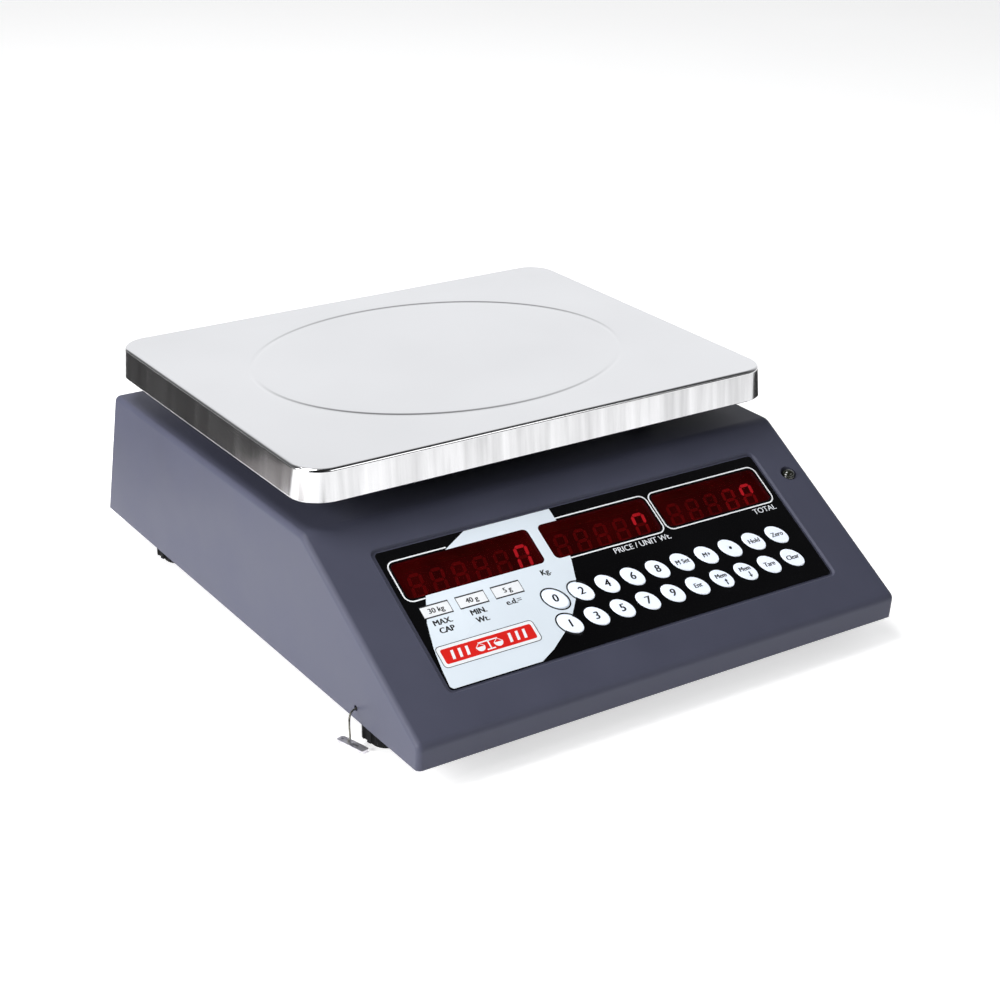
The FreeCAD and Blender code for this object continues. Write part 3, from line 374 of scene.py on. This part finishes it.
def add_seal_wire():
    """The wire from the hole in the left wall to its tag."""
    curve = bpy.data.curves.new("sealing_wire", "CURVE")
    curve.dimensions = "3D"
    curve.bevel_depth = SEAL_RADIUS * MM
    curve.bevel_resolution = 4
    curve.use_fill_caps = True
    spline = curve.splines.new("NURBS")
    spline.points.add(len(SEAL_ROUTE) - 1)
    for point, place in zip(spline.points, SEAL_ROUTE):
        point.co = (*[c * MM for c in place], 1.0)
    spline.order_u = 3
    spline.use_endpoint_u = True
    spline.resolution_u = 12
    curve.materials.append(LOOKS["seal_steel"])
    wire = bpy.data.objects.new("sealing_wire", curve)
    bpy.context.scene.collection.objects.link(wire)
    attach(wire, "case")
    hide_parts("seal_wire")


TAG_CENTRE = (-154.6, -126.0)
TAG_TURN = math.radians(-75)
TAG_SLOT_SHADES = ((2.0, 4.2, 1.1), (-6.9, 1.8, 0.6))  # place along the tag, length, width
TAG_SLOT_SHADE_Z = (0.52, 0.70)


def add_tag_marks():
    """Painted shade: black on the bottoms of the tag's two slots."""
    along, across = (math.cos(TAG_TURN), math.sin(TAG_TURN)), (-math.sin(TAG_TURN), math.cos(TAG_TURN))
    points, faces = [], []
    for at, length, width in TAG_SLOT_SHADES:
        first = len(points)
        for z in TAG_SLOT_SHADE_Z:
            for du, dv in ((-1, -1), (1, -1), (1, 1), (-1, 1)):
                u, v = at + du * length / 2, dv * width / 2
                place = [(TAG_CENTRE[k] + u * along[k] + v * across[k]) * MM for k in (0, 1)]
                points.append(place + [z * MM])
        faces += [[first + i for i in loop] for loop in
                  ((0, 1, 2, 3), (4, 5, 6, 7), (0, 1, 5, 4), (1, 2, 6, 5), (2, 3, 7, 6), (3, 0, 4, 7))]
    add_mesh("tag_slot_shade", mesh_of("marks", points, faces), BLACK_INK_AND_SHADE, "case")


add_seal_wire()
add_tag_marks()


# ------------------------------------------------------------------ front panel print
WINDOWS = ((-114.9, -33.3), (-26.5, 42.0), (47.0, 117.5))
WINDOW_LOW, WINDOW_HIGH = 78.3, 100.2
WINDOW_CORNER = 2.8
CLEAR = 0.25
# The pale printed field; its faint glow is painted light that brightens it.
PALE_FIELD_PAINTED_GLOW = surface("pale_field_painted_glow", (0.72, 0.79, 0.86), rough=(0.22, 0.3), vary=0.05, mottle=14.0,
                      Emission_Color=(0.8, 0.92, 1.0, 1.0), Emission_Strength=0.08)


def add_light_field():
    """The pale printed field round the weight window."""
    (_, w1_right), (w2_left, _), _ = WINDOWS
    low, high = WINDOW_LOW - CLEAR, WINDOW_HIGH + CLEAR
    corner = WINDOW_CORNER + CLEAR
    field = [(-66.9, 108.4), (-14.0, 108.4), (-13.8, high)]
    field += arc(w2_left - CLEAR + corner, high - corner, corner, 90, 180)
    field += arc(w2_left - CLEAR + corner, low + corner, corner, 180, 270)
    field += [(-18.2, low), (-19.6, 73.5), (-22.9, 64.0), (-29.0, 53.5), (-35.8, 45.5), (-44.6, 37.4),
              (-56.6, 29.4), (-66.0, 24.8), (-117.6, 24.8), (-119.0, 26.4), (-118.2, 36.0), (-116.4, 48.6),
              (-112.6, 63.0), (-108.2, 72.2), (-105.4, low)]
    field += arc(w1_right + CLEAR - corner, low + corner, corner, -90, 0)
    field += arc(w1_right + CLEAR - corner, high - corner, corner, 0, 90)
    field += [(-82.2, high)]
    add_mesh("panel_light_field", decal_mesh("field", [field], 0.0), PALE_FIELD_PAINTED_GLOW, "case")


def add_window_lines():
    """The white lines round the windows, where the panel is black."""
    gap, corner, width = 1.65, 4.4, 0.75
    low, high = WINDOW_LOW - gap, WINDOW_HIGH + gap
    (a0, _), (_, b1), (c0, c1) = [(x0 - gap, x1 + gap) for x0, x1 in WINDOWS]
    first = [(-81.0, high)] + arc(a0 + corner, high - corner, corner, 90, 180)
    first += arc(a0 + corner, low + corner, corner, 180, 270) + [(-106.2, low)]
    second = [(-18.4, low)] + arc(b1 - corner, low + corner, corner, -90, 0)
    second += arc(b1 - corner, high - corner, corner, 0, 90) + [(-13.9, high)]
    loops = ribbon(first, width, False) + ribbon(second, width, False)
    loops += ribbon(rounded(c0, c1, low, high, corner), width)
    add_mesh("panel_window_lines", decal_mesh("lines", loops, 0.0), WHITE_INK_PAINTED_GLOW, "case")


RATING_BOXES = ((-112.5, -96.1), (-91.7, -75.1), (-70.7, -53.9))
RATING_LOW, RATING_HIGH = 65.4, 72.3
RATING_VALUES = ("30 kg", "40 g", "5 g")
RATING_CAPTIONS = (("MAX.", "CAP"), ("MIN.", "Wt."), ("e.d.=",))
VALUE_S = 68.8
CAPTION_S = 61.5
CAPTION_SPACING = 4.9


def add_panel_words():
    """Plain captions: what each window shows, and the rating boxes."""
    white = [legend_mesh("PRICE / UNIT Wt.", 25.6, 73.2, 4.9, 0.02, 0.12),
             legend_mesh("TOTAL", 109.2, 73.2, 4.9, 0.02, 0.10)]
    add_mesh("panel_white_words", merge("words", white), WHITE_INK_PAINTED_GLOW, "case")
    dark = [legend_mesh("Kg.", -36.8, 72.5, 4.6, 0.04, 0.40)]
    lines, plates = [], []
    for (x0, x1), value, words in zip(RATING_BOXES, RATING_VALUES, RATING_CAPTIONS):
        outline = rectangle(x0, x1, RATING_LOW, RATING_HIGH)
        plates.append(outline)
        lines += ribbon(outline, 0.8)
        dark.append(legend_mesh(value, (x0 + x1) / 2, VALUE_S, 4.2, 0.06, 0.28))
        for i, word in enumerate(words):
            s = CAPTION_S - CAPTION_SPACING * i
            dark.append(legend_mesh(word, (x0 + x1) / 2, s, 4.6, 0.04, 0.40))
    add_mesh("panel_rating_plates", decal_mesh("plates", plates, 0.02), WHITE_INK_PAINTED_GLOW, "case")
    add_mesh("panel_rating_boxes", decal_mesh("boxes", lines, 0.04), BLACK_INK_AND_SHADE, "case")
    add_mesh("panel_dark_words", merge("words", dark), BLACK_INK_AND_SHADE, "case")


EMBLEM_X = (-116.1, -59.3)
EMBLEM_S = (36.3, 48.7)
EMBLEM_CORNER = 2.2
BAND_MARGIN = 1.9
BAND_CORNER = 1.2
PAN_ARM = 5.2           # from the balance's post to the middle of each of its pans
PAN_RADIUS = 2.6
BAR_START = 12.5
BAR_SPACING = 4.2


def add_emblem():
    """A generic label: a red band with a plain balance sign between bars."""
    (x0, x1), (s0, s1) = EMBLEM_X, EMBLEM_S
    plate = rounded(x0, x1, s0, s1, EMBLEM_CORNER)
    add_mesh("emblem_plate", decal_mesh("plate", [plate], 0.02), WHITE_INK_PAINTED_GLOW, "case")
    add_mesh("emblem_outline", decal_mesh("outline", ribbon(plate, 0.35), 0.05), BLACK_INK_AND_SHADE, "case")
    band = rounded(x0 + BAND_MARGIN, x1 - BAND_MARGIN, s0 + BAND_MARGIN, s1 - BAND_MARGIN, BAND_CORNER)
    add_mesh("emblem_band", decal_mesh("band", [band], 0.05), RED_INK, "case")
    cx, cs = (x0 + x1) / 2, (s0 + s1) / 2
    post = rectangle(cx - 0.4, cx + 0.4, cs - 2.6, cs + 2.7)
    base = rectangle(cx - 2.4, cx + 2.4, cs - 3.2, cs - 2.5)
    beam = rectangle(cx - 5.6, cx + 5.6, cs + 1.7, cs + 2.4)
    shapes = [post, base, beam]
    for side in (-1, 1):
        px = cx + side * PAN_ARM
        shapes.append(arc(px, cs - 0.2, PAN_RADIUS, 180, 360, 12))
        shapes += ribbon([(px - 2.5, cs - 0.2), (px, cs + 1.9), (px + 2.5, cs - 0.2)], 0.35, False)
        for i in range(3):
            bx = cx + side * (BAR_START + BAR_SPACING * i)
            low, high = cs - 2.6, cs + 2.6
            shapes.append([(bx - 1.2, low), (bx + 0.4, low), (bx + 1.2, high), (bx - 0.4, high)])
    add_mesh("emblem_sign", decal_mesh("sign", shapes, 0.08), WHITE_INK_PAINTED_GLOW, "case")


add_light_field()
add_window_lines()
add_panel_words()
add_emblem()

# ------------------------------------------------------------------ keys
KEY_LIFT = 0.5
# Each key's word, with 1 or -1 for an arrow up or down. The point's key has a printed dot instead.
KEY_LEGENDS = {"key_%d" % digit: (str(digit),) for digit in range(10)}
KEY_LEGENDS.update({
    "key_memory_set": ("M Set",),
    "key_memory_plus": ("M+",),
    "key_point": (),
    "key_hold": ("Hold",),
    "key_zero": ("Zero",),
    "key_enter": ("Ent",),
    "key_memory_up": ("Mem", 1),
    "key_memory_down": ("Mem", -1),
    "key_tare": ("Tare",),
    "key_clear": ("Clear",),
})
UPPER_ROW = ("key_0", "key_2", "key_4", "key_6", "key_8",
             "key_memory_set", "key_memory_plus", "key_point", "key_hold", "key_zero")
UPPER_S, LOWER_S = 56.1, 40.1
KEY_TILT = math.radians(-45)
ARROW_DROP = 2.6            # from the key's middle down to its arrow's
ARROW_HALF = 1.9
ARROW_NECK = 0.4
RING_HALF_SIZES = (8.1, 5.9)
RING_POINTS = 60
KEY_RINGS = (("key_0", 0, 360), ("key_1", 75, 330), ("key_2", 80, 290))  # start and end in degrees


def key_middle(name):
    """The (x, s) of a key's middle."""
    low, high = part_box(name)
    return (low.x + high.x) / 2 / MM, UPPER_S if name in UPPER_ROW else LOWER_S


def arrow_mesh(x, s, way):
    """A small arrow, right of and below a key's middle, that points up or down the slope."""
    middle = s - ARROW_DROP
    neck = middle + way * ARROW_NECK
    stem = rectangle(x + 0.9, x + 1.7, middle - way * ARROW_HALF, neck)
    head = [(x + 0.2, neck), (x + 2.4, neck), (x + 1.3, middle + way * ARROW_HALF)]
    return decal_mesh("arrow", [stem, head], KEY_LIFT)


def oval(x, s, half_long, half_short, steps):
    """A tilted oval's outline."""
    turned = []
    for i in range(steps):
        a = 2 * math.pi * i / steps
        u, v = half_long * math.cos(a), half_short * math.sin(a)
        turned.append((x + u * math.cos(KEY_TILT) - v * math.sin(KEY_TILT),
                       s + u * math.sin(KEY_TILT) + v * math.cos(KEY_TILT)))
    return turned


def add_key_signs():
    """Each key's printed sign, which moves with its key."""
    lift = KEY_LIFT + 0.02
    for name, legend in KEY_LEGENDS.items():
        x, s = key_middle(name)
        sign = name + "_sign"
        if not legend:
            mesh = decal_mesh(sign, [arc(x, s, 0.95, 0, 345, 15)], KEY_LIFT)
        elif len(legend) == 2:
            word = legend_mesh(legend[0], x, s + 1.5, 4.0, lift, bold=0.30, squeeze=0.9)
            mesh = merge(sign, [word, arrow_mesh(x, s, legend[1])])
        elif len(legend[0]) == 1:
            mesh = merge(sign, [legend_mesh(legend[0], x, s, 6.6, lift, bold=0.42)])
        else:
            mesh = merge(sign, [legend_mesh(legend[0], x, s, 4.1, lift, bold=0.30, squeeze=0.92)])
        add_mesh(sign, mesh, BLACK_INK_AND_SHADE, name)


def add_key_rings():
    """Dark rings round the keys that sit in or beside the pale field."""
    rings = []
    for name, start, end in KEY_RINGS:
        path = oval(*key_middle(name), *RING_HALF_SIZES, RING_POINTS)
        part = [p for i, p in enumerate(path) if start <= 360 / RING_POINTS * i <= end]
        rings += ribbon(part, 0.8, name == "key_0")
    add_mesh("panel_key_rings", decal_mesh("rings", rings, 0.05), BLACK_INK_AND_SHADE, "case")


add_key_signs()
add_key_rings()

# ------------------------------------------------------------------ digits
DIGIT_PITCH = 12.7
DIGIT_GROUPS = {
    "weight_digits": (-72.6, (0, 0, 0, 0, 0, 2)),
    "unit_value_digits": (9.2, (0, 0, 0, 0, 2)),
    "total_digits": (83.4, (0, 0, 0, 1, 2)),
}
DIGIT_LIFT = -3.88
DIGIT_CENTRE_S = 86.8
DIGIT_WIDE, DIGIT_TALL, BAR = 6.5, 13.0, 1.9
DIGIT_LEAN = math.tan(math.radians(9))


def bar(x0, s0, x1, s1, cx):
    """One segment with pointed ends, leaning with its digit."""
    along = Vector((x1 - x0, s1 - s0)).normalized()
    side = Vector((-along.y, along.x)) * (BAR / 2)
    start, end = Vector((x0, s0)) + along * 0.25, Vector((x1, s1)) - along * 0.25
    tip = along * (BAR / 2)
    outline = (start, start + tip + side, end - tip + side, end, end - tip - side, start + tip - side)
    return [(cx + p.x + p.y * DIGIT_LEAN, DIGIT_CENTRE_S + p.y) for p in outline]


def glow_level(node, state, letter):
    """How brightly a segment glows. A lit digit's middle and lower segments can be dimmer or dark. Dark ones keep
    a faint glow, painted light.
    """
    if state < 2:
        return state
    if letter == "d" or (letter == "g" and node != "total_digits"):
        return 0
    if letter == "g" or (letter in "ce" and node != "weight_digits"):
        return 1
    return 2


def add_digits():
    """Seven segments on every digit block, grouped by how brightly they glow."""
    w, h = DIGIT_WIDE / 2, DIGIT_TALL / 2
    segments = {"a": (-w, h, w, h), "b": (w, h, w, 0), "c": (w, 0, w, -h), "d": (-w, -h, w, -h),
                "e": (-w, 0, -w, -h), "f": (-w, h, -w, 0), "g": (-w, 0, w, 0)}
    for node, (centre, states) in DIGIT_GROUPS.items():
        levels = {0: [], 1: [], 2: []}
        for i, state in enumerate(states):
            cx = centre + (i - (len(states) - 1) / 2) * DIGIT_PITCH
            for letter, run in segments.items():
                levels[glow_level(node, state, letter)].append(bar(*run, cx))
        for level, loops in levels.items():
            if loops:
                name = "%s_glow_%d" % (node, level)
                add_mesh(name, decal_mesh(name, loops, DIGIT_LIFT), SEGMENTS[level], "case")


add_digits()


# ------------------------------------------------------------------ spirit level
DOME_RADIUS = 3.5
DOME_RISE = 2.3
DOME_SUNK = 0.6      # how far its middle lies below the vial's top
DOME_ROOT = 0.4      # depth of its lower half


def add_level_dome():
    """The clear dome on top of the spirit level's vial."""
    low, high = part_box("level_vial")
    x, y, base = (low.x + high.x) / 2 / MM, (low.y + high.y) / 2 / MM, high.z / MM - DOME_SUNK
    work = bmesh.new()
    bmesh.ops.create_uvsphere(work, u_segments=40, v_segments=20, radius=1.0)
    for vertex in work.verts:
        up = vertex.co.z * (DOME_RISE + DOME_SUNK if vertex.co.z > 0 else DOME_ROOT)
        vertex.co = Vector((x + vertex.co.x * DOME_RADIUS, y + vertex.co.y * DOME_RADIUS, base + up)) * MM
    mesh = bpy.data.meshes.new("dome")
    work.to_mesh(mesh)
    work.free()
    add_mesh("level_dome", mesh, LOOKS["vial"], "case", True)


add_level_dome()

# ------------------------------------------------------------------ platter
PLATTER_HALF = (148.9, 116.9)
PLATTER_CORNER = 18.0
SKIRT_DRAFT = 1.1
FOLD = 1.8
SHEET = 1.2
RING_HALF = (110.0, 89.0)
RING_SPREAD, RING_DEPTH = 2.4, 0.42
CORNER_STEPS, SIDE_STEPS = 14, 26
RING_STEPS = 6
FOLD_STEPS = 8
SHADED_SKIRT_SLOT, SHADED_INSIDE_SLOT = 1, 2


def platter_outline(inset):
    """The pan's rounded rectangle, moved in by inset: the same count of points at every size."""
    hx, hy = PLATTER_HALF[0] - PLATTER_CORNER, PLATTER_HALF[1] - PLATTER_CORNER
    corners = ((hx, -hy, -90), (hx, hy, 0), (-hx, hy, 90), (-hx, -hy, 180))
    points = []
    for i, (cx, cy, start) in enumerate(corners):
        points += arc(cx, cy, PLATTER_CORNER - inset, start, start + 90, CORNER_STEPS)
        nx, ny, after = corners[(i + 1) % 4]
        begin, end = Vector(points[-1]), Vector(arc(nx, ny, PLATTER_CORNER - inset, after, after + 90, 1)[0])
        points += [tuple(begin.lerp(end, k / SIDE_STEPS)) for k in range(1, SIDE_STEPS)]
    return points


def add_platter():
    """The stainless pan as one sheet: pressed oval ring, rounded fold, leaning skirt and its inside."""
    low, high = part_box("platter")
    cy, top = (low.y + high.y) / 2 / MM, high.z / MM
    bottom = low.z / MM
    edge = platter_outline(SKIRT_DRAFT + FOLD)
    angles = [math.atan2(y / PLATTER_HALF[1], x / PLATTER_HALF[0]) for x, y in edge]

    def ring(grow, share=1.0):
        a, b = (RING_HALF[0] + grow) * share, (RING_HALF[1] + grow) * share
        return [(a * math.cos(w), b * math.sin(w)) for w in angles]

    loops = [(ring(0, share), top) for share in (0.25, 0.5, 0.75, 0.93)]
    for i in range(-RING_STEPS, RING_STEPS + 1):
        offset = RING_SPREAD * i / RING_STEPS
        sink = RING_DEPTH * (0.5 + 0.5 * math.cos(math.pi * i / RING_STEPS))
        loops.append((ring(offset), top - sink))
    outer = ring(RING_SPREAD)
    for share in (0.25, 0.5, 0.75, 0.97):
        mixed = [(x0 + (x1 - x0) * share, y0 + (y1 - y0) * share) for (x0, y0), (x1, y1) in zip(outer, edge)]
        loops.append((mixed, top))
    for i in range(FOLD_STEPS + 1):
        turn = math.pi / 2 * i / FOLD_STEPS
        inset = SKIRT_DRAFT + FOLD * (1 - math.sin(turn))
        loops.append((platter_outline(inset), top - FOLD * (1 - math.cos(turn))))
    for share in (0.3, 0.6, 0.97, 1.0):
        loops.append((platter_outline(SKIRT_DRAFT * (1 - share)), top - FOLD + (bottom - top + FOLD) * share))
    for share in (1.0, 0.97, 0.5, 0.1, 0.0):
        z = top - SHEET + (bottom - top + SHEET) * share
        loops.append((platter_outline(SHEET + SKIRT_DRAFT * (1 - share)), z))
    under = platter_outline(SHEET + SKIRT_DRAFT + 1.0)
    loops += [([(x * k, y * k) for x, y in under], top - SHEET) for k in (1.0, 0.7, 0.4)]

    count = len(edge)
    points = [(x * MM, (y + cy) * MM, z * MM) for loop, z in loops for x, y in loop]
    faces = []
    for k in range(len(loops) - 1):
        for i in range(count):
            j = (i + 1) % count
            faces.append((k * count + i, k * count + j, (k + 1) * count + j, (k + 1) * count + i))
    for first, z in ((0, top), (len(loops) - 1, top - SHEET)):
        hub = len(points)
        points.append((0, cy * MM, z * MM))
        faces += [(first * count + i, first * count + (i + 1) % count, hub) for i in range(count)]
    sheet = mesh_of("pan", points, faces)
    pan = add_mesh("platter_pan", sheet, LOOKS["stainless"], "platter", True)
    pan.data.materials.append(LOOKS["stainless_skirt_shaded"])
    pan.data.materials.append(LOOKS["stainless_shaded_inside"])
    for face in pan.data.polygons:
        z = face.center.z / MM
        steep = abs(face.normal.z) < 0.2
        inward = face.normal.x * face.center.x + face.normal.y * (face.center.y - cy * MM) < 0
        # The underside and the inner skirt get the dark steel, painted shade.
        if face.normal.z < -0.3 or (steep and inward):
            face.material_index = SHADED_INSIDE_SLOT
        # The outer skirt gets the darker steel, painted shade.
        elif steep and z < top - FOLD:
            face.material_index = SHADED_SKIRT_SLOT
    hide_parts("platter")


add_platter()


# ------------------------------------------------------------------ floor and light
def add_stage_plane(name, x, y, z, material):
    """A flat stage rectangle that isn't part of the scale."""
    mesh = mesh_of(name, [(x[0], y[0], z), (x[1], y[0], z), (x[1], y[1], z), (x[0], y[1], z)], [(0, 1, 2, 3)])
    plane = bpy.data.objects.new(name, mesh)
    bpy.context.scene.collection.objects.link(plane)
    mesh.materials.append(material)
    return plane


def add_reflection_card(name, x, y, shade):
    """A stage card on the floor that shows only in reflections."""
    dark = surface(name, (shade, shade * 0.93, shade * 0.92), rough=(0.8, 0.9))
    card = add_stage_plane(name, x, y, 0.0005, dark)
    card.visible_camera = False
    card.visible_diffuse = False
    card.visible_shadow = False
    card.visible_transmission = False


def add_stage():
    """A plain pale floor, and dark cards that give the steel something to mirror."""
    pale = surface("floor", (0.80, 0.80, 0.80), rough=(0.6, 0.7), vary=0.005, mottle=3.0,
                   Emission_Color=(1, 1, 1, 1), Emission_Strength=0.57)
    add_stage_plane("floor", (-6, 6), (-6, 6), -0.0002, pale)
    add_reflection_card("far_card", (-1.6, -0.2), (0.27, 1.8), 0.02)
    add_reflection_card("near_card", (-1.2, -0.2), (0.19, 0.27), 0.22)
    add_reflection_card("side_card", (-0.55, -0.36), (-0.13, 0.02), 0.40)
    add_reflection_card("corner_card", (-0.275, -0.215), (-0.42, -0.24), 0.04)
    add_reflection_card("right_card", (0.33, 0.60), (-0.20, 0.10), 0.02)


def add_world():
    """A studio room: bright low down and behind the scale, dark overhead, in front and to the left."""
    world = bpy.data.worlds.new("studio")
    bpy.context.scene.world = world
    world.use_nodes = True
    tree = world.node_tree
    where = node_of(tree, "ShaderNodeTexCoord")
    split = node_of(tree, "ShaderNodeSeparateXYZ")
    tree.links.new(where.outputs["Generated"], split.inputs["Vector"])
    height = spread(tree, split.outputs["Z"], 1.0, 0.14, 0.45, 0.80)
    depth = spread(tree, split.outputs["Y"], 0.12, 1.0, -0.2, 0.5)
    across = spread(tree, split.outputs["X"], 0.15, 1.0, -0.30, 0.0)
    total = height
    for share in (depth, across):
        product = node_of(tree, "ShaderNodeMath", operation="MULTIPLY")
        tree.links.new(total, product.inputs[0])
        tree.links.new(share, product.inputs[1])
        total = product.outputs["Value"]
    tree.links.new(total, tree.nodes["Background"].inputs["Strength"])
    tree.nodes["Background"].inputs["Color"].default_value = (0.97, 0.98, 1.0, 1.0)


def add_light(name, place, aim, size, power):
    """A soft rectangular light that points at aim."""
    data = bpy.data.lights.new(name, "AREA")
    data.shape = "RECTANGLE"
    data.size, data.size_y = size
    data.energy = power
    light = bpy.data.objects.new(name, data)
    bpy.context.scene.collection.objects.link(light)
    light.location = place
    light.rotation_euler = (Vector(aim) - Vector(place)).to_track_quat("-Z", "Y").to_euler()


add_stage()
add_world()
add_light("left_light", (-1.6, 0.0, 0.68), (0, 0, 0.05), (1.2, 0.7), 34)
add_light("front_light", (0.5, -1.2, 0.9), (0, -0.1, 0.08), (0.8, 0.6), 3)
add_light("top_light", (-0.5, 0.35, 1.8), (0, -0.05, 0.08), (0.9, 0.7), 24)
bpy.context.scene.view_settings.view_transform = "Standard"
